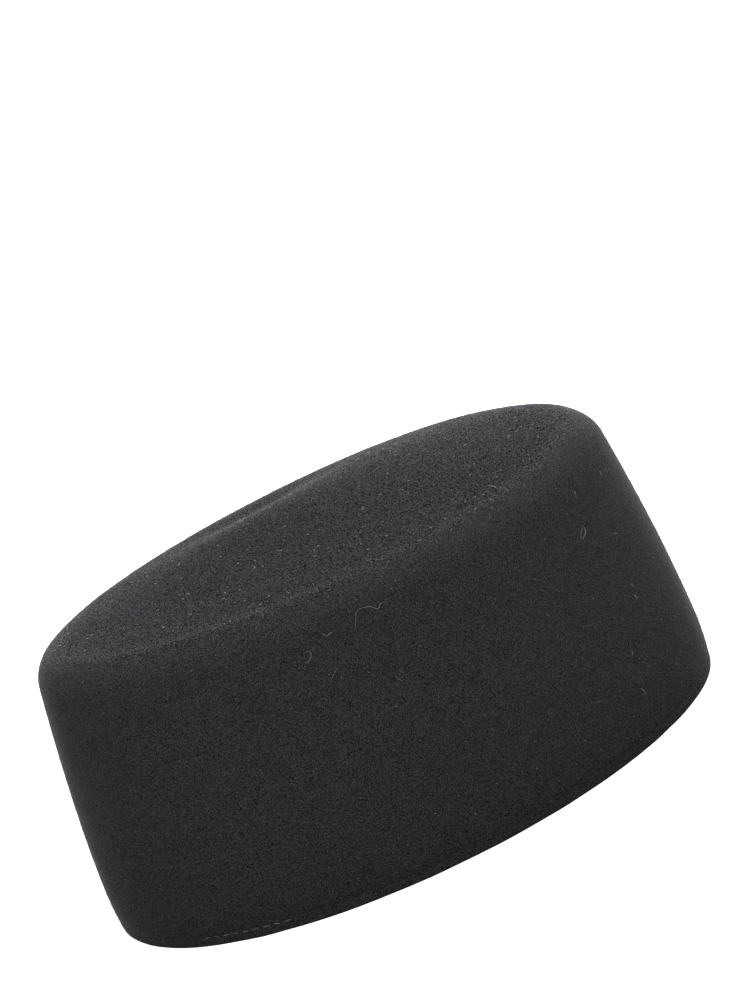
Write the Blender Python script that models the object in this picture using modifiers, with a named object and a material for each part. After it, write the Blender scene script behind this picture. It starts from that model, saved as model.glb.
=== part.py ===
"""Pillbox hat: one shell of blocked felt, open underneath, standing on its cut rim.

Metres, +Z up. The origin is the middle of the rim's plane. The front is -Y, the back is +Y and +X is the
wearer's left. Run it with blender --background --python part.py, or from Blender's text editor.
"""

import math
from collections import namedtuple

import bmesh
import bpy

# Sizes over the rim, outside
LENGTH = 0.202
WIDTH = 0.170

# Rim plane to the top edge, and how much higher that edge runs at front and back
HEIGHT = 0.078
END_RISE = 0.0008

# Thickness of the felt
FELT = 0.0025

# Side wall: its lean in from the rim to the top edge, its swell out of that line halfway up,
# and how far and how high up the rim draws in under it
WALL_LEAN = 0.0057
WALL_SWELL = 0.0013
RIM_TUCK = 0.0010
TUCK_HEIGHT = 0.014

# Rounding between the wall and the tip, outside
EDGE_RADIUS = 0.0094

# Tip, which is the top of a hat: how far its dome rises over the top edge, and the share by which
# the dome leans to one side, with that side's turn in degrees
TIP_DOME = 0.005
TIP_SKEW = 0.6
SKEW_TURN = 218

# Felt below the rim plane, which the cut takes off, and the cutter's margin round the hat and below that felt
CUT_ALLOWANCE = 0.003
CUTTER_MARGIN = 0.010

# Colour and finish of the felt
FELT_COLOUR = (0.029, 0.028, 0.031, 1.0)
FELT_ROUGHNESS = 0.95

# Fineness of the mesh: columns round the hat, and rings along each zone
COLUMNS = 96
TIP_RINGS = (0.20, 0.38, 0.52, 0.64, 0.75, 0.85, 0.93)
EDGE_RINGS = 6
WALL_RINGS = 8

# Soft dents that the felt has taken in wear, one row each. The turn and its spread are degrees round
# the hat from the front. On the tip the place is a share of the way from its middle to its edge, on the
# wall a share of the way from the rim to the top edge. The depth is a share of the felt's thickness.
Dent = namedtuple("Dent", "zone turn turn_spread place place_spread depth")
DENTS = (
    Dent("tip", turn=236, turn_spread=25, place=0.66, place_spread=0.17, depth=0.85),
    Dent("wall", turn=75, turn_spread=16, place=0.55, place_spread=0.35, depth=0.20),
)


def outline(turn):
    """A point of the rim's oval and the way out of the hat there, both in plan."""
    half_width = WIDTH / 2
    half_length = LENGTH / 2
    x = half_width * math.sin(turn)
    y = -half_length * math.cos(turn)
    out_x = math.sin(turn) / half_width
    out_y = -math.cos(turn) / half_length
    size = math.hypot(out_x, out_y)
    return x, y, out_x / size, out_y / size


def crest_height(turn):
    return HEIGHT + END_RISE * math.cos(2 * turn)


def top_lean():
    """The angle from upright at which the wall meets the top edge, so that the two join smoothly."""
    return math.atan2(WALL_LEAN + 4 * WALL_SWELL, HEIGHT - EDGE_RADIUS)


def wall_height(turn):
    return crest_height(turn) - EDGE_RADIUS * (1 - math.sin(top_lean()))


def smooth_step(share):
    share = min(max(share, 0.0), 1.0)
    return share * share * (3 - 2 * share)


def dent_depth(zone, turn, place):
    """How far the felt is pushed in here."""
    depth = 0.0
    for dent in DENTS:
        if dent.zone != zone:
            continue
        away = (math.degrees(turn) - dent.turn + 180) % 360 - 180
        along = (place - dent.place) / dent.place_spread
        depth += dent.depth * FELT * math.exp(-((away / dent.turn_spread) ** 2) - along**2)
    return depth


def wall_point(turn, place):
    """A point of the wall's outside. The place is 0 at the rim plane and 1 at the top edge."""
    x, y, out_x, out_y = outline(turn)
    z = place * wall_height(turn)
    inset = WALL_LEAN * place - 4 * WALL_SWELL * place * (1 - place)
    inset += RIM_TUCK * max(1 - z / TUCK_HEIGHT, 0.0) ** 2
    inset += dent_depth("wall", turn, place)
    return x - out_x * inset, y - out_y * inset, z


def dome_lean(turn, place):
    """What the dome's rise is multiplied by here, because it leans to one side."""
    return 1 + TIP_SKEW * place * math.cos(turn - math.radians(SKEW_TURN))


def edge_end(turn):
    """The angle from upright to which the top edge turns, so that it joins the dome smoothly."""
    x, y, _, _ = outline(turn)
    reach = math.hypot(x, y) - WALL_LEAN - EDGE_RADIUS
    return math.pi / 2 - math.atan2(2 * TIP_DOME * dome_lean(turn, 1.0), reach)


def round_edge(turn, place):
    """A point of the rounded top edge before any dents, and the way out of the hat there in plan."""
    x, y, out_x, out_y = outline(turn)
    start = top_lean()
    angle = start + place * (edge_end(turn) - start)
    inset = WALL_LEAN + EDGE_RADIUS * (math.cos(start) - math.cos(angle))
    z = crest_height(turn) - EDGE_RADIUS * (1 - math.sin(angle))
    return x - out_x * inset, y - out_y * inset, z, out_x, out_y


def edge_point(turn, place):
    """A point of the rounded top edge. The place is 0 at the wall and 1 at the tip."""
    x, y, z, out_x, out_y = round_edge(turn, place)
    inset = dent_depth("wall", turn, 1.0) * (1 - place)
    z -= dent_depth("tip", turn, 1.0) * place
    return x - out_x * inset, y - out_y * inset, z


def tip_point(turn, place):
    """A point of the tip. The place is 0 in its middle and 1 at the top edge."""
    x, y, edge_z, _, _ = round_edge(turn, 1.0)
    z = HEIGHT + (edge_z - HEIGHT) * place**2
    z += TIP_DOME * (1 - place**2) * dome_lean(turn, place)
    # The middle has no turn of its own, so a dent fades out over the inner half of the tip.
    z -= dent_depth("tip", turn, place) * smooth_step(2 * place)
    return x * place, y * place, z


def felt_sections():
    """The rings of the felt from the tip's middle out and down, as pairs of a zone's function and a place."""
    sections = [(tip_point, place) for place in TIP_RINGS]
    sections += [(edge_point, 1 - step / EDGE_RINGS) for step in range(EDGE_RINGS + 1)]
    sections += [(wall_point, 1 - step / WALL_RINGS) for step in range(1, WALL_RINGS + 1)]
    sections.append((wall_point, -CUT_ALLOWANCE / HEIGHT))
    return sections


def blocked_surface():
    """The felt's outside, made as felt is blocked: a round blank whose edge is drawn out ring by ring."""
    sections = felt_sections()
    bm = bmesh.new()
    bmesh.ops.create_circle(bm, cap_ends=True, cap_tris=True, segments=COLUMNS, radius=1.0)
    middle = next(vert for vert in bm.verts if len(vert.link_edges) == COLUMNS)
    ring = [vert for vert in bm.verts if vert is not middle]
    turns = {vert: math.atan2(vert.co.x, -vert.co.y) for vert in ring}
    for vert, turn in turns.items():
        zone_point, place = sections[0]
        vert.co = zone_point(turn, place)
    middle.co = tip_point(0.0, 0.0)
    edges = [edge for edge in bm.edges if edge.is_boundary]
    for zone_point, place in sections[1:]:
        drawn = bmesh.ops.extrude_edge_only(bm, edges=edges)["geom"]
        edges = [item for item in drawn if isinstance(item, bmesh.types.BMEdge) and item.is_boundary]
        new_turns = {}
        for vert in (item for item in drawn if isinstance(item, bmesh.types.BMVert)):
            source = next(edge.other_vert(vert) for edge in vert.link_edges if edge.other_vert(vert) in turns)
            new_turns[vert] = turns[source]
            vert.co = zone_point(new_turns[vert], place)
        turns = new_turns
    bmesh.ops.recalc_face_normals(bm, faces=bm.faces)
    if middle.normal.z < 0:
        bmesh.ops.reverse_faces(bm, faces=bm.faces)
    mesh = bpy.data.meshes.new("felt_body")
    bm.to_mesh(mesh)
    bm.free()
    return mesh


def felt_material():
    material = bpy.data.materials.new("wool_felt")
    material.use_nodes = True
    shader = material.node_tree.nodes["Principled BSDF"]
    shader.inputs["Base Color"].default_value = FELT_COLOUR
    shader.inputs["Roughness"].default_value = FELT_ROUGHNESS
    shader.inputs["Metallic"].default_value = 0.0
    return material


def rim_cutter(collection):
    """A block whose top is the rim plane, larger than the hat all round."""
    bm = bmesh.new()
    bmesh.ops.create_cube(bm, size=1.0)
    for vert in bm.verts:
        vert.co.x *= WIDTH + 2 * CUTTER_MARGIN
        vert.co.y *= LENGTH + 2 * CUTTER_MARGIN
        vert.co.z = (vert.co.z - 0.5) * (CUT_ALLOWANCE + CUTTER_MARGIN)
    mesh = bpy.data.meshes.new("rim_cutter")
    bm.to_mesh(mesh)
    bm.free()
    cutter = bpy.data.objects.new("rim_cutter", mesh)
    cutter.hide_render = True
    cutter.display_type = "WIRE"
    collection.objects.link(cutter)
    return cutter


def felt_body(collection, cutter):
    """The felt shell: the blocked surface thickened inwards, then cut level at the rim."""
    mesh = blocked_surface()
    mesh.shade_smooth()
    mesh.materials.append(felt_material())
    body = bpy.data.objects.new("felt_body", mesh)
    collection.objects.link(body)
    thicken = body.modifiers.new("thicken", "SOLIDIFY")
    thicken.thickness = FELT
    thicken.offset = -1.0
    cut = body.modifiers.new("cut_rim", "BOOLEAN")
    cut.operation = "DIFFERENCE"
    cut.object = cutter
    return body


def build():
    for old in list(bpy.data.objects):
        bpy.data.objects.remove(old, do_unlink=True)
    hat = bpy.data.collections.new("pillbox_hat")
    cutters = bpy.data.collections.new("cutters")
    bpy.context.scene.collection.children.link(hat)
    bpy.context.scene.collection.children.link(cutters)
    felt_body(hat, rim_cutter(cutters))


build()
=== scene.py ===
"""Looks of the pillbox hat: fine felt, stitches, fuzz and lint, with a floor, soft lights and a camera.

Metres, +Z up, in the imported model's frame: the front is -Y and +X is the wearer's left. A turn goes round the
hat from the front towards +X. A place on the felt is a turn and a way down: the way down is 0 in the tip's
middle, 1 where the tip meets the rounded top edge, 2 where that edge meets the wall and 3 at the rim.
"""

import math
from collections import namedtuple

import bpy
import numpy as np
from mathutils import Matrix, Vector, noise


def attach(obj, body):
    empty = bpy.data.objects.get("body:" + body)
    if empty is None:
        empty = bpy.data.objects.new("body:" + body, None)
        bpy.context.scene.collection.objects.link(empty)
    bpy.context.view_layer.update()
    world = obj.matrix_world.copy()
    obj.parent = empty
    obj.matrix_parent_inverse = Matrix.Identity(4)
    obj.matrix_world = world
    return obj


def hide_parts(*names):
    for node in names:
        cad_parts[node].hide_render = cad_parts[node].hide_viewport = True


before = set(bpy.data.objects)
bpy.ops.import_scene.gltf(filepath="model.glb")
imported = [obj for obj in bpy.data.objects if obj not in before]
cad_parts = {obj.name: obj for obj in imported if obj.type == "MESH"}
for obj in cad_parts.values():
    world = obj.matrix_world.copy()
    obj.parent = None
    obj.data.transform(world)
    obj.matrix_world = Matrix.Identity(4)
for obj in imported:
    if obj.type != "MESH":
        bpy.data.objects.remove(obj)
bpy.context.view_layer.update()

# Sizes of the blocked felt, the same as the solid's
WIDTH = 0.170
LENGTH = 0.202
HEIGHT = 0.078
END_RISE = 0.0008
FELT = 0.0025
WALL_LEAN = 0.0057
WALL_SWELL = 0.0013
RIM_TUCK = 0.0010
TUCK_HEIGHT = 0.014
EDGE_RADIUS = 0.0094
TIP_DOME = 0.005
TIP_SKEW = 0.6
SKEW_TURN = 218

# Soft dents of the felt, as in the solid. The turn and its spread are degrees round the hat. The place is a
# share of the way from the tip's middle to its edge, or from the rim to the wall's top. The depth is a
# share of the felt's thickness.
Dent = namedtuple("Dent", "zone turn turn_spread place place_spread depth")
DENTS = (
    Dent("tip", turn=236, turn_spread=25, place=0.66, place_spread=0.17, depth=0.85),
    Dent("wall", turn=75, turn_spread=16, place=0.55, place_spread=0.35, depth=0.20),
)

# Fine unevenness of the felt: the width and height of the waves in each layer of noise
Wave = namedtuple("Wave", "width height")
WAVES = (
    Wave(width=0.030, height=0.00016),
    Wave(width=0.011, height=0.00006),
    Wave(width=0.004, height=0.00002),
)

# The cut rim: the rounding of its two corners, and how far and in how wide waves it strays from the level
CUT_ROUND = 0.0005
CUT_STRAY = 0.00012
CUT_WAVE = 0.009

# Stitches round the rim, each a dash of thread whose ends go into the felt. The height is over the rim. The
# start is where the first one lies, in stitches from the front. The length varies between two shares of
# STITCH_LENGTH. The slant is the rise from a stitch's middle to its end, as a share of its length, and
# varies by its spread. The thread's axis rises over the felt by a share of its radius, and its ends sink
# under it.
STITCH_PITCH = 0.0033
STITCH_LENGTH = 0.0021
STITCH_SHARES = (0.88, 1.12)
STITCH_HEIGHT = 0.0030
STITCH_START = 0.05
STITCH_SLANT = -0.04
SLANT_SPREAD = 0.10
STITCH_POINTS = 7
THREAD_RADIUS = 0.00011
THREAD_RISE = 0.6
THREAD_SINK = 0.0004

# Stitches at the front with a painted highlight in their paler thread, from the first number to just before
# the second, and how far they stand off
LOOSE_STITCHES = (-4, 5)
LOOSE_LIFT = 0.00008

# The dimple that each stitch pulls into the felt: its depth, and its spread along the rim and across it
DIMPLE_DEPTH = 0.00030
DIMPLE_ALONG = 0.0008
DIMPLE_ACROSS = 0.0006

# Fineness of the felt's mesh: columns round the hat for each stitch, and rings along each zone. The band is
# the lowest part of the wall, which holds the stitches. The inside takes one outside ring in every
# INSIDE_SKIP.
COLUMNS_PER_STITCH = 4
TIP_RINGS = 26
EDGE_RINGS = 12
WALL_RINGS = 24
BAND_RINGS = 13
BAND_HEIGHT = 0.0065
CUT_RINGS = 3
INSIDE_SKIP = 3

# Steps in which the rim's length is measured, and the step of turn and way that gives the felt's directions
RIM_STEPS = 7200
SURFACE_STEP = 1e-4

# Fuzz: short fibres that lie on the felt with their tails in it, so many to the square metre. The middle of
# a fibre rises by up to its lift and lies aside by up to its bend, which is a share of its length.
Fuzz = namedtuple("Fuzz", "name first_way last_way per_area shortest longest radius lift bend seed")
FUZZ = (
    Fuzz("tip_fuzz", 0.0, 1.2, 1.5e6, 0.0004, 0.0013, 0.000022, 0.00022, 0.15, seed=11),
    Fuzz("high_wall_fuzz", 1.2, 2.5, 1.0e6, 0.0004, 0.0013, 0.000022, 0.00018, 0.15, seed=12),
    Fuzz("low_wall_fuzz", 2.5, 3.0, 1.0e6, 0.0004, 0.0013, 0.000022, 0.00018, 0.15, seed=13),
)

# One fibre of the fuzz: a tail, a ring of three corners at these turns round its middle, and a head that
# rises by up to this many times the lift. The slack keeps rounding from dropping the ring at the last way.
RING_TURNS = (math.pi / 2, math.pi * 7 / 6, math.pi * 11 / 6)
NEEDLE_FACES = ((0, 2, 1), (0, 3, 2), (0, 1, 3), (4, 1, 2), (4, 2, 3), (4, 3, 1))
NEEDLE_CORNERS = 5
HEAD_LIFT = 2
WAY_SLACK = 1e-6

# Loose fibres where the photo shows them, each a row of places on the felt with turns in degrees
Strand = namedtuple("Strand", "radius lift places")
STRANDS = (
    Strand(0.00004, 0.0003, ((34.0, 2.02), (34.6, 2.035), (35.2, 2.03), (35.6, 2.035))),
    Strand(0.00004, 0.0003, ((29.8, 2.06), (30.8, 2.07), (30.2, 2.09), (29.2, 2.095))),
    Strand(0.000032, 0.0003, ((41.4, 1.94), (43.8, 2.01), (44.4, 2.015), (45.2, 2.01), (46.4, 2.01))),
    Strand(0.000032, 0.0003, ((41.4, 1.94), (40.2, 2.02), (39.2, 2.05))),
    Strand(0.00004, 0.0003, ((34.2, 2.155), (33.0, 2.17), (32.0, 2.195))),
    Strand(0.00004, 0.0002, ((42.4, 2.275), (43.2, 2.295))),
    Strand(0.00004, 0.0002, ((43.3, 2.25), (43.9, 2.27))),
    Strand(0.00008, 0.0005, ((254.8, 0.91), (252.4, 0.95))),
    Strand(0.00008, 0.0005, ((255.0, 0.88), (252.0, 0.93), (253.8, 0.89))),
    Strand(0.00004, 0.0002, ((93.4, 2.49), (93.8, 2.495), (93.6, 2.51))),
    Strand(0.00004, 0.0002, ((86.0, 2.645), (85.6, 2.665))),
    Strand(0.00004, 0.0003, ((84.0, 2.785), (84.3, 2.80), (84.4, 2.82))),
    Strand(0.00005, 0.0003, ((92.4, 2.02), (91.8, 2.03), (91.8, 2.045))),
    Strand(0.000035, 0.0003, ((89.0, 2.14), (89.2, 2.145), (88.4, 2.155), (87.8, 2.16), (87.6, 2.185))),
    Strand(0.000035, 0.0003, ((89.8, 2.15), (89.0, 2.17), (87.6, 2.185))),
    Strand(0.000035, 0.0002, ((96.8, 2.25), (98.4, 2.265))),
    Strand(0.00004, 0.0003, ((104.6, 2.04), (103.8, 2.045), (104.0, 2.06))),
    Strand(0.00004, 0.0002, ((94.2, 2.445), (94.7, 2.465))),
    Strand(0.00003, 0.0002, ((71.8, 2.335), (72.4, 2.35))),
    Strand(0.00005, 0.0003, ((125.4, 0.805), (125.6, 0.82), (127.6, 0.83))),
    Strand(0.00005, 0.0002, ((104.4, 0.655), (101.6, 0.68))),
    Strand(0.00005, 0.0003, ((84.4, 0.88), (83.6, 0.91), (82.2, 0.955))),
    Strand(0.00004, 0.0002, ((98.8, 0.92), (96.8, 0.95))),
    Strand(0.00004, 0.0002, ((154.0, 0.465), (155.6, 0.49))),
    Strand(0.00004, 0.0002, ((77.2, 0.865), (76.0, 0.89))),
)

# Rings of a loose fibre's mesh for each of its places, the degree of its curve at most, and how much it
# thins towards its ends
RINGS_PER_PLACE = 4
STRAND_DEGREE = 3
STRAND_TAPER = 0.7

# Flecks of lint where the photo shows them, and how many more lie elsewhere. A size is half a fleck's
# length.
Fleck = namedtuple("Fleck", "turn way size")
FLECKS = (
    Fleck(40.4, 2.365, 0.00020), Fleck(32.2, 2.165, 0.00020), Fleck(33.4, 2.345, 0.00018),
    Fleck(34.2, 2.345, 0.00016), Fleck(29.6, 2.235, 0.00018), Fleck(38.6, 2.215, 0.00016),
    Fleck(45.4, 2.850, 0.00026), Fleck(288.2, 0.58, 0.00028), Fleck(272.4, 0.95, 0.00018),
    Fleck(272.4, 0.90, 0.00018), Fleck(278.4, 0.69, 0.00018), Fleck(296.2, 0.53, 0.00018),
    Fleck(349.4, 0.66, 0.00016), Fleck(94.2, 2.45, 0.00018), Fleck(104.6, 2.69, 0.00026),
    Fleck(97.8, 2.59, 0.00016), Fleck(111.2, 2.585, 0.00016), Fleck(73.8, 2.725, 0.00020),
    Fleck(83.0, 2.39, 0.00020), Fleck(89.4, 2.555, 0.00016), Fleck(71.6, 2.57, 0.00018),
    Fleck(79.6, 2.855, 0.00018), Fleck(59.4, 2.72, 0.00020), Fleck(88.8, 2.155, 0.00018),
)
Lint = namedtuple("Lint", "count first_way last_way smallest largest")
STRAY_LINT = (
    Lint(240, 0.10, 1.05, 0.00012, 0.00045),
    Lint(460, 1.05, 2.96, 0.00007, 0.00016),
)

# What the sizes of the flecks that the photo shows are multiplied by
FLECK_SCALE = 0.72

# The form of a fleck, as shares of its size: how far it rises over the felt, bends aside and is thick, the
# last as a radius with a limit in metres. The taper is how much it thins towards its ends.
FLECK_POINTS = 5
FLECK_RISE = 0.5
FLECK_BEND = 0.7
FLECK_THICKNESS = 0.4
THICKEST_LINT = 0.00008
FLECK_TAPER = 0.8

# Seed of the draws for the stitches and the lint
DRAW_SEED = 21

# Patterns of noise, with widths in metres: the felt's grain, small clumps and broad mottling, the tufts and
# tints that lie on the tip alone, and the grain of threads and fibres. The reach is how far the noise goes
# from its middle value to the pattern's low and high. The grain also gives the felt some relief.
NOISE_MIDDLE = 0.5
Pattern = namedtuple("Pattern", "width detail distortion low high reach", defaults=(0.0, 1.0, 0.2))
GRAIN = Pattern(width=0.00026, detail=1.0, distortion=0.6, low=0.0, high=2.40, reach=0.175)
CLUMPS = Pattern(width=0.0011, detail=2.0, distortion=0.5, low=0.95, high=1.05)
TIP_TUFTS = Pattern(width=0.00045, detail=1.0, distortion=0.6, low=0.0, high=2.00, reach=0.06)
TIP_TINTS = Pattern(width=0.0055, detail=1.0, distortion=0.0)
MOTTLE = Pattern(width=0.0075, detail=2.0, distortion=0.0)
THREAD_GRAIN = Pattern(width=0.00025, detail=1.0, distortion=0.0, low=0.7, high=1.3)
TINT_STRENGTH = 0.17
GRAIN_RELIEF = 0.00010

# Colours that the felt's mottling goes between, and plain white
COOL_FELT = (0.0243, 0.0241, 0.0273)
WARM_FELT = (0.0245, 0.0243, 0.0238)
WHITE = (1.0, 1.0, 1.0)

# Painted shade and highlight, as what the felt's colour is multiplied by: painted shade down the wall
# to the rim, on the flat of the tip and in a soft darker patch of the tip, and a painted highlight along
# the rounded edge. The fades are shares of the way from the hat's axis to the tip's edge. The tufts fade
# out over the rounded edge. The height, the patch's middle and its reach are in metres.
RIM_PAINTED_SHADE = 0.83
RIM_PAINTED_SHADE_HEIGHT = 0.036
TIP_PAINTED_SHADE = 0.78
TIP_PAINTED_SHADE_FADE = (0.94, 1.03)
PATCH_PAINTED_SHADE = 0.76
PATCH_MIDDLE = (-0.0263, -0.0057, 0.0830)
PATCH_REACH = 0.075
EDGE_PAINTED_HIGHLIGHT = 1.14
EDGE_PAINTED_HIGHLIGHT_FADE = (1.03, 1.12)
TUFTS_FADE = (1.01, 1.09)

# Sheen of the nap: what the colour is multiplied by where the felt is seen edge-on, the power that keeps
# this to the edge, and the shader's own sheen
NAP_EDGE_ON = (8.4, 7.9, 8.0)
NAP_POWER = 10.0
SHEEN = 0.02
SHEEN_ROUGHNESS = 0.3

# Roughness of the felt, its mirror-like shine, and that of everything else
FELT_ROUGHNESS = 0.95
FELT_SHINE = 0.0
SHINE = 0.1

# Threads and fibres: the darkest and lightest that one of them can be, and the roughness
Fibre = namedtuple("Fibre", "name darkest lightest roughness")
BLACK_THREAD = Fibre("black_thread", (0.008, 0.008, 0.009), (0.018, 0.018, 0.020), 0.7)
# Thread of the stitches that stand off the felt: black thread painted paler as a highlight
THREAD_PAINTED_HIGHLIGHT = Fibre("thread_painted_highlight", (0.06, 0.06, 0.063), (0.15, 0.15, 0.155), 0.7)
FELT_FUZZ = Fibre("felt_fuzz", (0.02, 0.02, 0.021), (0.14, 0.139, 0.145), 0.8)
PALE_LINT = Fibre("pale_lint", (0.20, 0.20, 0.20), (0.45, 0.446, 0.44), 0.8)

# Floor: half its width, its colour and roughness, and how strongly it glows
FLOOR_HALF = 12.0
FLOOR_COLOUR = (0.9, 0.9, 0.9)
FLOOR_ROUGHNESS = 0.9
FLOOR_GLOW = 0.97

# Soft lights: the turn and elevation in degrees that each comes from, and its strength
Light = namedtuple("Light", "name turn elevation strength")
LIGHTS = (
    Light("key", 34, 35, 2.65),
    Light("top", 124, 65, 1.45),
    Light("left", 304, 5, 1.25),
    Light("right", 124, 5, 0.45),
    Light("back_right", 169, 5, 3.60),
    Light("back_left", 259, 5, 2.00),
)

# How wide each light's disc is in degrees, and the strength of the even light from all round
LIGHT_ANGLE = 50
SKY = 0.04

# Camera: where it stands, what it is aimed at, how far it is rolled, its lens, and how near and far it sees
EYE = Vector((0.63403, -0.93998, 0.29005))
AIM = Vector((0.01180, 0.01638, 0.07732))
ROLL = math.radians(-22.424)
FOCAL_LENGTH = 151.35
SENSOR = 36.0
CLIP_START = 0.05
CLIP_END = 60.0


def outline(turn):
    """Points of the rim's oval and the way out of the hat there, in plan."""
    x = WIDTH / 2 * np.sin(turn)
    y = -LENGTH / 2 * np.cos(turn)
    out_x = np.sin(turn) / (WIDTH / 2)
    out_y = -np.cos(turn) / (LENGTH / 2)
    size = np.hypot(out_x, out_y)
    return x, y, out_x / size, out_y / size


def crest_height(turn):
    return HEIGHT + END_RISE * np.cos(2 * turn)


def top_lean():
    """The angle from upright at which the wall meets the top edge."""
    return math.atan2(WALL_LEAN + 4 * WALL_SWELL, HEIGHT - EDGE_RADIUS)


def wall_height(turn):
    return crest_height(turn) - EDGE_RADIUS * (1 - math.sin(top_lean()))


def smooth_step(share):
    share = np.clip(share, 0.0, 1.0)
    return share * share * (3 - 2 * share)


def dent_depth(zone, turn, place):
    """How far the felt is pushed in here."""
    depth = 0.0 * turn
    for dent in DENTS:
        if dent.zone != zone:
            continue
        away = (np.degrees(turn) - dent.turn + 180) % 360 - 180
        along = (place - dent.place) / dent.place_spread
        depth = depth + dent.depth * FELT * np.exp(-((away / dent.turn_spread) ** 2) - along**2)
    return depth


def wall_points(turn, place):
    """Points of the wall's outside. The place is 0 at the rim plane and 1 at the top edge."""
    x, y, out_x, out_y = outline(turn)
    z = place * wall_height(turn)
    inset = WALL_LEAN * place - 4 * WALL_SWELL * place * (1 - place)
    inset = inset + RIM_TUCK * np.clip(1 - z / TUCK_HEIGHT, 0, None) ** 2
    inset = inset + dent_depth("wall", turn, place)
    return np.stack([x - out_x * inset, y - out_y * inset, z], axis=-1)


def dome_lean(turn, place):
    """What the dome's rise is multiplied by, because it leans to one side."""
    return 1 + TIP_SKEW * place * np.cos(turn - math.radians(SKEW_TURN))


def edge_end(turn):
    """The angle from upright to which the top edge turns, so that it joins the dome smoothly."""
    x, y, _, _ = outline(turn)
    reach = np.hypot(x, y) - WALL_LEAN - EDGE_RADIUS
    return math.pi / 2 - np.arctan2(2 * TIP_DOME * dome_lean(turn, 1.0), reach)


def round_edge(turn, place):
    """Points of the rounded top edge before any dents, and the way out of the hat there in plan."""
    x, y, out_x, out_y = outline(turn)
    start = top_lean()
    angle = start + place * (edge_end(turn) - start)
    inset = WALL_LEAN + EDGE_RADIUS * (math.cos(start) - np.cos(angle))
    z = crest_height(turn) - EDGE_RADIUS * (1 - np.sin(angle))
    return x - out_x * inset, y - out_y * inset, z, out_x, out_y


def edge_points(turn, place):
    """Points of the rounded top edge. The place is 0 at the wall and 1 at the tip."""
    x, y, z, out_x, out_y = round_edge(turn, place)
    inset = dent_depth("wall", turn, 1.0) * (1 - place)
    z = z - dent_depth("tip", turn, 1.0) * place
    return np.stack([x - out_x * inset, y - out_y * inset, z], axis=-1)


def tip_points(turn, place):
    """Points of the tip. The place is 0 in its middle and 1 at the top edge."""
    x, y, edge_z, _, _ = round_edge(turn, 1.0)
    z = HEIGHT + (edge_z - HEIGHT) * place**2
    z = z + TIP_DOME * (1 - place**2) * dome_lean(turn, place)
    z = z - dent_depth("tip", turn, place) * smooth_step(2 * place)
    return np.stack([x * place, y * place, z], axis=-1)


def felt_points(turn, way):
    """Points of the blocked felt's outside at these turns in radians and ways down."""
    turn, way = np.broadcast_arrays(turn, way)
    way = way[..., None]
    tip = tip_points(turn, way[..., 0])
    edge = edge_points(turn, 2 - way[..., 0])
    wall = wall_points(turn, 3 - way[..., 0])
    return np.where(way <= 1, tip, np.where(way <= 2, edge, wall))


def felt_normals(turn, way):
    """Unit directions out of the felt there."""
    round_way = felt_points(turn + SURFACE_STEP, way) - felt_points(turn - SURFACE_STEP, way)
    down_way = felt_points(turn, way + SURFACE_STEP) - felt_points(turn, way - SURFACE_STEP)
    normals = np.cross(down_way, round_way)
    return normals / np.linalg.norm(normals, axis=-1, keepdims=True)


def soft_waves(points):
    """Height of the felt's unevenness at each of these points."""
    flat = [Vector(point) for point in points.reshape(-1, 3)]
    heights = [sum(wave.height * noise.noise(point / wave.width) for wave in WAVES) for point in flat]
    return np.array(heights).reshape(points.shape[:-1])


def rim_lengths():
    """Turns in fine steps once round the hat, and the length along the rim's oval up to each."""
    turns = np.linspace(0, 2 * math.pi, RIM_STEPS + 1)
    x, y, _, _ = outline(turns)
    return turns, np.concatenate([[0.0], np.cumsum(np.hypot(np.diff(x), np.diff(y)))])


RIM_TURNS, RIM_LENGTHS = rim_lengths()
STITCHES = round(RIM_LENGTHS[-1] / STITCH_PITCH)


def turn_at(stitch):
    """The turn at which this stitch lies, counted round the rim from the front. It may be a fraction."""
    length = (stitch + STITCH_START) * RIM_LENGTHS[-1] / STITCHES
    return np.interp(length % RIM_LENGTHS[-1], RIM_LENGTHS, RIM_TURNS)


def stitch_pull(stitch, height):
    """How far the stitches pull the felt in, at a fraction of a stitch round the rim and a height over it."""
    away = (stitch - np.round(stitch)) * STITCH_PITCH
    across = height - STITCH_HEIGHT
    return DIMPLE_DEPTH * np.exp(-((away / DIMPLE_ALONG) ** 2) - (across / DIMPLE_ACROSS) ** 2)


def surface(stitch, way):
    """Points of the finished felt, with waves and dimples, and the directions out of it."""
    turn = turn_at(stitch)
    points = felt_points(turn, way)
    normals = felt_normals(turn, way)
    offset = soft_waves(points) - stitch_pull(np.broadcast_to(stitch, points.shape[:-1]), points[..., 2])
    return points + normals * offset[..., None], normals


def stitch_of(turn_degrees):
    """The fraction of a stitch round the rim at this turn."""
    length = np.interp(math.radians(turn_degrees % 360), RIM_TURNS, RIM_LENGTHS)
    return length * STITCHES / RIM_LENGTHS[-1] - STITCH_START


def felt_grid():
    """The felt's outside as a grid: rings down the hat by columns round it."""
    stitch = np.arange(STITCHES * COLUMNS_PER_STITCH) / COLUMNS_PER_STITCH
    band = 3 - BAND_HEIGHT / HEIGHT
    lowest = 3 - CUT_ROUND / HEIGHT
    ways = np.concatenate(
        [
            np.linspace(0, 1, TIP_RINGS + 1)[1:],
            np.linspace(1, 2, EDGE_RINGS + 1)[1:],
            np.linspace(2, band, WALL_RINGS + 1)[1:],
            np.linspace(band, lowest, BAND_RINGS + 1)[1:],
        ]
    )
    points, normals = surface(stitch[None, :], ways[:, None])
    return ways, points, normals


def mesh_piece(name, vertices, faces, material):
    """A smooth mesh object with this material that rides on the hat."""
    mesh = bpy.data.meshes.new(name)
    mesh.from_pydata(np.asarray(vertices).tolist(), [], faces)
    mesh.update()
    mesh.shade_smooth()
    mesh.materials.append(material)
    piece = bpy.data.objects.new(name, mesh)
    bpy.context.scene.collection.objects.link(piece)
    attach(piece, "root")
    return piece


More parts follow.
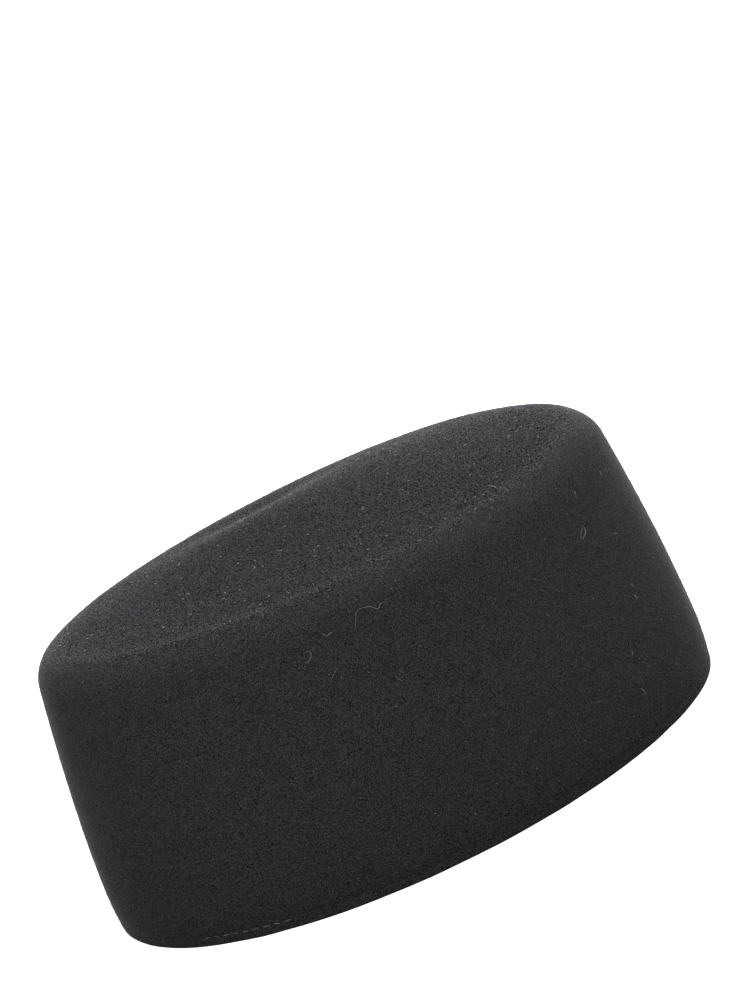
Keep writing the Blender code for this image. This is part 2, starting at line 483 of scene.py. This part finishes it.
def corner_arc(corner, other, level):
    """Rings that round the corner between one side of the felt and the level cut, side first."""
    inward = other - corner
    inward[:, 2] = 0
    inward /= np.linalg.norm(inward, axis=-1, keepdims=True)
    rings = []
    for step in range(1, CUT_RINGS + 1):
        angle = step / CUT_RINGS * math.pi / 2
        ring = corner + inward * (CUT_ROUND * (1 - math.cos(angle)))
        ring[:, 2] = corner[:, 2] + (level - corner[:, 2]) * math.sin(angle)
        rings.append(ring)
    return rings


def felt_shell(points, normals, material):
    """The felt as one closed shell: outside, cut rim and inside."""
    outside = list(points)
    inner = points - normals * FELT
    inside = [inner[-1], *inner[-2::-INSIDE_SKIP]]
    strays = [noise.noise(Vector((x, y, 0)) / CUT_WAVE) for x, y, _ in points[-1]]
    level = CUT_STRAY * (1 + np.array(strays))
    cut = corner_arc(points[-1], inner[-1], level) + corner_arc(inner[-1], points[-1], level)[::-1]
    rings = outside + cut + inside
    columns = points.shape[1]
    vertices = np.concatenate(rings)
    middle = points[0].mean(axis=0)
    vertices = np.vstack([vertices, middle, middle - (0, 0, FELT)])
    faces = []
    for ring in range(len(rings) - 1):
        for column in range(columns):
            after = (column + 1) % columns
            here, below = ring * columns, (ring + 1) * columns
            faces.append((here + column, below + column, below + after, here + after))
    last = (len(rings) - 1) * columns
    top, underside = len(vertices) - 2, len(vertices) - 1
    for column in range(columns):
        after = (column + 1) % columns
        faces.append((top, column, after))
        faces.append((underside, last + after, last + column))
    return mesh_piece("felt_shell", vertices, faces, material)


class Tubes:
    """Closed tubes gathered into one mesh."""

    SIDES = 6

    def __init__(self):
        self.vertices = []
        self.faces = []

    def add(self, centres, outs, radii):
        """A tube along these centres. The outs are the directions out of the felt there."""
        first = len(self.vertices)
        tangents = np.gradient(centres, axis=0)
        tangents /= np.linalg.norm(tangents, axis=-1, keepdims=True)
        sides = np.cross(outs, tangents)
        sides /= np.linalg.norm(sides, axis=-1, keepdims=True)
        uprights = np.cross(tangents, sides)
        for centre, side, upright, radius in zip(centres, sides, uprights, radii):
            for step in range(self.SIDES):
                angle = 2 * math.pi * step / self.SIDES
                self.vertices.append(centre + radius * (math.cos(angle) * side + math.sin(angle) * upright))
        for ring in range(len(centres) - 1):
            for step in range(self.SIDES):
                here = first + ring * self.SIDES
                after = (step + 1) % self.SIDES
                ahead = here + self.SIDES
                self.faces.append((here + step, here + after, ahead + after, ahead + step))
        last = first + (len(centres) - 1) * self.SIDES
        self.faces.append(tuple(range(first + self.SIDES - 1, first - 1, -1)))
        self.faces.append(tuple(range(last, last + self.SIDES)))

    def piece(self, name, material):
        return mesh_piece(name, self.vertices, self.faces, material)


def stitch_tubes(numbers, lift, rng):
    """Dashes of thread whose two ends go into the felt."""
    tubes = Tubes()
    along = np.linspace(-1, 1, STITCH_POINTS)
    for number in numbers:
        half = STITCH_LENGTH / STITCH_PITCH / 2 * rng.uniform(*STITCH_SHARES)
        slope = (rng.uniform(-SLANT_SPREAD, SLANT_SPREAD) - STITCH_SLANT) * STITCH_LENGTH / HEIGHT
        ways = 3 - STITCH_HEIGHT / HEIGHT + slope * along
        points, outs = surface(number + along * half, ways)
        rise = THREAD_RADIUS * THREAD_RISE + lift - (THREAD_SINK + lift) * along**4
        tubes.add(points + outs * rise[:, None], outs, np.full(STITCH_POINTS, THREAD_RADIUS))
    return tubes


def needle_mesh(fuzz, ways, points, normals):
    """Vertices and faces of short bent fibres, spread evenly by area over part of the felt."""
    rng = np.random.default_rng(fuzz.seed)
    last_way = fuzz.last_way + WAY_SLACK
    rows = [row for row in range(len(ways) - 1) if fuzz.first_way <= ways[row] and ways[row + 1] <= last_way]
    rows = np.array(rows)
    here = points[rows]
    below = points[rows + 1]
    round_way = np.roll(here, -1, axis=1) - here
    down_way = below - here
    areas = np.linalg.norm(np.cross(down_way, round_way), axis=-1)
    count = int(areas.sum() * fuzz.per_area)
    shares = np.cumsum(areas.ravel()) / areas.sum()
    cells = np.searchsorted(shares, rng.random(count))
    row, column = np.divmod(cells, points.shape[1])
    row = rows[row]
    across, down = rng.random((2, count, 1))
    after = (column + 1) % points.shape[1]
    at = (1 - down) * ((1 - across) * points[row, column] + across * points[row, after])
    at += down * ((1 - across) * points[row + 1, column] + across * points[row + 1, after])
    out = normals[row, column]
    side = points[row, after] - points[row, column]
    side /= np.linalg.norm(side, axis=-1, keepdims=True)
    side -= out * (side * out).sum(axis=-1, keepdims=True)
    side /= np.linalg.norm(side, axis=-1, keepdims=True)
    other = np.cross(out, side)
    angle = rng.uniform(0, 2 * math.pi, (count, 1))
    along = np.cos(angle) * side + np.sin(angle) * other
    beside = np.cross(out, along)
    length = rng.uniform(fuzz.shortest, fuzz.longest, (count, 1))
    lift = fuzz.lift * rng.random((count, 2, 1))
    tail = at - along * length / 2 - out * fuzz.radius
    middle = at + out * lift[:, 0] + beside * length * rng.uniform(-fuzz.bend, fuzz.bend, (count, 1))
    head = at + along * length / 2 + out * (lift[:, 1] * HEAD_LIFT - fuzz.radius)
    ring = [
        middle + fuzz.radius * (math.cos(turn) * beside + math.sin(turn) * out)
        for turn in RING_TURNS
    ]
    vertices = np.stack([tail, *ring, head], axis=1).reshape(-1, 3)
    vertices[:, 2] = np.maximum(vertices[:, 2], fuzz.radius)
    firsts = NEEDLE_CORNERS * np.arange(count)
    faces = (np.array(NEEDLE_FACES)[None] + firsts[:, None, None]).reshape(-1, 3)
    return vertices, faces.tolist()


def strand_tubes():
    """The loose fibres, each a smooth curve through its places that arches off the felt."""
    tubes = Tubes()
    for strand in STRANDS:
        places = np.array(strand.places)
        steps = np.linspace(0, len(places) - 1, RINGS_PER_PLACE * len(places))
        knots = np.arange(len(places))
        if len(places) > 2:
            degree = min(STRAND_DEGREE, len(places) - 1)
            turns = np.polyval(np.polyfit(knots, places[:, 0], degree), steps)
            ways = np.polyval(np.polyfit(knots, places[:, 1], degree), steps)
        else:
            turns = np.interp(steps, knots, places[:, 0])
            ways = np.interp(steps, knots, places[:, 1])
        stitch = np.array([stitch_of(turn) for turn in turns])
        points, outs = surface(stitch, ways)
        share = np.linspace(0, 1, len(steps))
        rise = strand.lift * 4 * share * (1 - share)
        radii = strand.radius * (1 - STRAND_TAPER * (2 * share - 1) ** 4)
        tubes.add(points + outs * rise[:, None], outs, radii)
    return tubes


def fleck_tubes(rng):
    """Flecks of lint: tiny bent wisps that lie on the felt."""
    tubes = Tubes()
    placed = [(stitch_of(fleck.turn), fleck.way, fleck.size * FLECK_SCALE) for fleck in FLECKS]
    for lint in STRAY_LINT:
        for _ in range(lint.count):
            way = math.sqrt(rng.uniform(lint.first_way**2, lint.last_way**2))
            placed.append((rng.uniform(0, STITCHES), way, rng.uniform(lint.smallest, lint.largest)))
    share = np.linspace(-1, 1, FLECK_POINTS)
    for stitch, way, size in placed:
        points, outs = surface(np.full(1, stitch), np.full(1, way))
        out = outs[0]
        heading = Vector(rng.normal(size=3)).normalized()
        along = np.array(heading) - out * np.dot(heading, out)
        along /= np.linalg.norm(along)
        beside = np.cross(out, along)
        bend = np.outer(share**2, beside) * size * FLECK_BEND
        centres = points[0] + out * size * FLECK_RISE + np.outer(share, along) * size + bend
        radii = min(size * FLECK_THICKNESS, THICKEST_LINT) * (1 - FLECK_TAPER * share**2)
        tubes.add(centres, np.tile(out, (len(share), 1)), radii)
    return tubes


def new_material(name, colour, roughness):
    material = bpy.data.materials.new(name)
    material.use_nodes = True
    shader = material.node_tree.nodes["Principled BSDF"]
    shader.inputs["Base Color"].default_value = (*colour, 1)
    shader.inputs["Roughness"].default_value = roughness
    shader.inputs["Specular IOR Level"].default_value = SHINE
    return material, material.node_tree, shader


def noise_outputs(tree, pattern):
    """What a noise node on the object's own coordinates gives."""
    place = tree.nodes.new("ShaderNodeTexCoord")
    texture = tree.nodes.new("ShaderNodeTexNoise")
    texture.inputs["Scale"].default_value = 1 / pattern.width
    texture.inputs["Detail"].default_value = pattern.detail
    texture.inputs["Distortion"].default_value = pattern.distortion
    tree.links.new(place.outputs["Object"], texture.inputs["Vector"])
    return texture.outputs


def spread(tree, value, first, last, low, high):
    """The value between first and last, as one between low and high."""
    node = tree.nodes.new("ShaderNodeMapRange")
    node.inputs["From Min"].default_value = first
    node.inputs["From Max"].default_value = last
    node.inputs["To Min"].default_value = low
    node.inputs["To Max"].default_value = high
    tree.links.new(value, node.inputs["Value"])
    return node.outputs["Result"]


def noise_pattern(tree, pattern):
    """The pattern's noise, and that noise spread from its low to its high."""
    noise_value = noise_outputs(tree, pattern)["Fac"]
    first, last = NOISE_MIDDLE - pattern.reach, NOISE_MIDDLE + pattern.reach
    return noise_value, spread(tree, noise_value, first, last, pattern.low, pattern.high)


def mixed(tree, share, first, last):
    """A colour between two, by a value between 0 and 1."""
    node = tree.nodes.new("ShaderNodeMix")
    node.data_type = "RGBA"
    node.inputs["A"].default_value = (*first, 1)
    node.inputs["B"].default_value = (*last, 1)
    tree.links.new(share, node.inputs["Factor"])
    return node.outputs["Result"]


def calculated(tree, operation, *operands):
    """The result of arithmetic on values, each a socket or a plain number."""
    node = tree.nodes.new("ShaderNodeMath")
    node.operation = operation
    for socket, operand in zip(node.inputs, operands):
        if isinstance(operand, bpy.types.NodeSocket):
            tree.links.new(operand, socket)
        else:
            socket.default_value = operand
    return node.outputs["Value"]


def vector_step(tree, operation, first, second):
    """The sum, difference, product or distance of two vectors or colours, as sockets or plain numbers."""
    node = tree.nodes.new("ShaderNodeVectorMath")
    node.operation = operation
    for socket, operand in zip(node.inputs, (first, second)):
        if isinstance(operand, bpy.types.NodeSocket):
            tree.links.new(operand, socket)
        else:
            socket.default_value = operand
    return node.outputs["Value" if operation == "DISTANCE" else "Vector"]


def way_out(tree, place):
    """How far out from the hat's axis a place lies, as a share of the way to the tip's oval edge."""
    across = 1 / (WIDTH / 2 - WALL_LEAN - EDGE_RADIUS)
    along = 1 / (LENGTH / 2 - WALL_LEAN - EDGE_RADIUS)
    flat = vector_step(tree, "MULTIPLY", place, (across, along, 0.0))
    return vector_step(tree, "DISTANCE", flat, (0.0, 0.0, 0.0))


def rim_painted_shade(tree, place):
    """Painted shade: a value that darkens the felt softly towards the rim."""
    parts = tree.nodes.new("ShaderNodeSeparateXYZ")
    tree.links.new(place, parts.inputs["Vector"])
    return spread(tree, parts.outputs["Z"], 0.0, RIM_PAINTED_SHADE_HEIGHT, RIM_PAINTED_SHADE, 1.0)


def tip_tufts(tree, tip_share):
    """Coarser tufts on the tip alone, as a value about one that is even elsewhere."""
    _, tufts = noise_pattern(tree, TIP_TUFTS)
    change = calculated(tree, "MULTIPLY", tip_share, calculated(tree, "SUBTRACT", tufts, 1.0))
    return calculated(tree, "ADD", change, 1.0)


def tip_tints(tree, tip_share, colour):
    """The colour with faint patches of other hues on the tip."""
    tints = noise_outputs(tree, TIP_TINTS)["Color"]
    change = vector_step(tree, "SUBTRACT", tints, (NOISE_MIDDLE, NOISE_MIDDLE, NOISE_MIDDLE))
    change = scaled(tree, change, calculated(tree, "MULTIPLY", tip_share, TINT_STRENGTH))
    return vector_step(tree, "MULTIPLY", colour, vector_step(tree, "ADD", change, WHITE))


def nap_sheen(tree, colour):
    """The colour with the sheen of the nap, which makes felt that is seen edge-on paler."""
    facing = tree.nodes.new("ShaderNodeLayerWeight").outputs["Facing"]
    edge_on = calculated(tree, "POWER", facing, NAP_POWER)
    return vector_step(tree, "MULTIPLY", colour, mixed(tree, edge_on, WHITE, NAP_EDGE_ON))


def scaled(tree, colour, value):
    """A colour times a value."""
    node = tree.nodes.new("ShaderNodeVectorMath")
    node.operation = "SCALE"
    tree.links.new(colour, node.inputs[0])
    tree.links.new(value, node.inputs["Scale"])
    return node.outputs["Vector"]


def felt_material():
    """Matt black wool: a fine grain over clumps and faint warm and cool mottling, with some relief."""
    material, tree, shader = new_material("wool_felt", COOL_FELT, FELT_ROUGHNESS)
    shader.inputs["Specular IOR Level"].default_value = FELT_SHINE
    shader.inputs["Sheen Weight"].default_value = SHEEN
    shader.inputs["Sheen Roughness"].default_value = SHEEN_ROUGHNESS
    relief, grain = noise_pattern(tree, GRAIN)
    _, clumps = noise_pattern(tree, CLUMPS)
    _, mottle = noise_pattern(tree, MOTTLE)
    place = tree.nodes.new("ShaderNodeTexCoord").outputs["Object"]
    out = way_out(tree, place)
    tip_share = spread(tree, out, *TUFTS_FADE, 1.0, 0.0)
    # Painted shade on the flat of the tip, rising to a painted highlight along the rounded edge that ends
    # further out
    tip_painted_shade_and_highlight = spread(tree, out, *TIP_PAINTED_SHADE_FADE, TIP_PAINTED_SHADE, EDGE_PAINTED_HIGHLIGHT)
    edge_highlight_end = spread(tree, out, *EDGE_PAINTED_HIGHLIGHT_FADE, 1.0, 1 / EDGE_PAINTED_HIGHLIGHT)
    # A soft patch of painted shade on the tip
    away = vector_step(tree, "DISTANCE", place, PATCH_MIDDLE)
    patch = spread(tree, away, 0.0, PATCH_REACH, PATCH_PAINTED_SHADE, 1.0)
    patch.node.interpolation_type = "SMOOTHSTEP"
    tufts = tip_tufts(tree, tip_share)
    colour = mixed(tree, mottle, COOL_FELT, WARM_FELT)
    for value in (grain, clumps, tufts, tip_painted_shade_and_highlight, edge_highlight_end, patch, rim_painted_shade(tree, place)):
        colour = scaled(tree, colour, value)
    colour = nap_sheen(tree, tip_tints(tree, tip_share, colour))
    tree.links.new(colour, shader.inputs["Base Color"])
    bump = tree.nodes.new("ShaderNodeBump")
    bump.inputs["Distance"].default_value = GRAIN_RELIEF
    tree.links.new(relief, bump.inputs["Height"])
    tree.links.new(bump.outputs["Normal"], shader.inputs["Normal"])
    return material


def fibre_material(fibre):
    """Threads or fibres, each of its own shade between the darkest and the lightest."""
    material, tree, shader = new_material(fibre.name, fibre.darkest, fibre.roughness)
    island = tree.nodes.new("ShaderNodeNewGeometry").outputs["Random Per Island"]
    _, grain = noise_pattern(tree, THREAD_GRAIN)
    shade = mixed(tree, island, fibre.darkest, fibre.lightest)
    tree.links.new(scaled(tree, shade, grain), shader.inputs["Base Color"])
    return material


def floor():
    """A plain pale floor. It glows almost white, so that the hat leaves only a faint shadow on it."""
    mesh = bpy.data.meshes.new("floor")
    half = FLOOR_HALF
    corners = [(-half, -half, 0), (half, -half, 0), (half, half, 0), (-half, half, 0)]
    mesh.from_pydata(corners, [], [(0, 1, 2, 3)])
    piece = bpy.data.objects.new("floor", mesh)
    bpy.context.scene.collection.objects.link(piece)
    material, _, shader = new_material("pale_floor", FLOOR_COLOUR, FLOOR_ROUGHNESS)
    shader.inputs["Emission Color"].default_value = (*WHITE, 1)
    shader.inputs["Emission Strength"].default_value = FLOOR_GLOW
    piece.data.materials.append(material)
    piece.visible_diffuse = False
    piece.visible_glossy = False


def camera():
    data = bpy.data.cameras.new("camera")
    data.lens = FOCAL_LENGTH
    data.sensor_width = SENSOR
    data.clip_start = CLIP_START
    data.clip_end = CLIP_END
    piece = bpy.data.objects.new("camera", data)
    bpy.context.scene.collection.objects.link(piece)
    look = (AIM - EYE).to_track_quat("-Z", "Y").to_matrix().to_4x4()
    piece.matrix_world = Matrix.Translation(EYE) @ look @ Matrix.Rotation(ROLL, 4, "Z")
    bpy.context.scene.camera = piece


def soft_light(light):
    """A sun with a wide disc, as soft as a large soft box."""
    data = bpy.data.lights.new(light.name, "SUN")
    data.energy = light.strength
    data.angle = math.radians(LIGHT_ANGLE)
    piece = bpy.data.objects.new(light.name, data)
    turn, elevation = math.radians(light.turn), math.radians(light.elevation)
    towards = Vector(
        (math.sin(turn) * math.cos(elevation), -math.cos(turn) * math.cos(elevation), math.sin(elevation))
    )
    piece.location = Vector((0, 0, HEIGHT / 2)) + towards
    piece.rotation_euler = towards.to_track_quat("Z", "Y").to_euler()
    bpy.context.scene.collection.objects.link(piece)


def world_light(strength):
    world = bpy.data.worlds.new("studio")
    world.use_nodes = True
    background = world.node_tree.nodes["Background"]
    background.inputs["Color"].default_value = (*WHITE, 1)
    background.inputs["Strength"].default_value = strength
    bpy.context.scene.world = world


def build():
    ways, points, normals = felt_grid()
    shell = felt_shell(points, normals, felt_material())
    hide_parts("felt_body")
    rng = np.random.default_rng(DRAW_SEED)
    loose = range(*LOOSE_STITCHES)
    tight = [number for number in range(STITCHES) if number not in loose and number - STITCHES not in loose]
    stitch_tubes(tight, 0.0, rng).piece("stitches", fibre_material(BLACK_THREAD))
    stitch_tubes(loose, LOOSE_LIFT, rng).piece("loose_stitches", fibre_material(THREAD_PAINTED_HIGHLIGHT))
    fuzz_look = fibre_material(FELT_FUZZ)
    for fuzz in FUZZ:
        mesh_piece(fuzz.name, *needle_mesh(fuzz, ways, points, normals), fuzz_look)
    lint = fibre_material(PALE_LINT)
    strand_tubes().piece("loose_fibres", lint)
    fleck_tubes(rng).piece("lint_flecks", lint)


build()
floor()
camera()
world_light(SKY)
for light in LIGHTS:
    soft_light(light)
bpy.context.scene.view_settings.view_transform = "Standard"
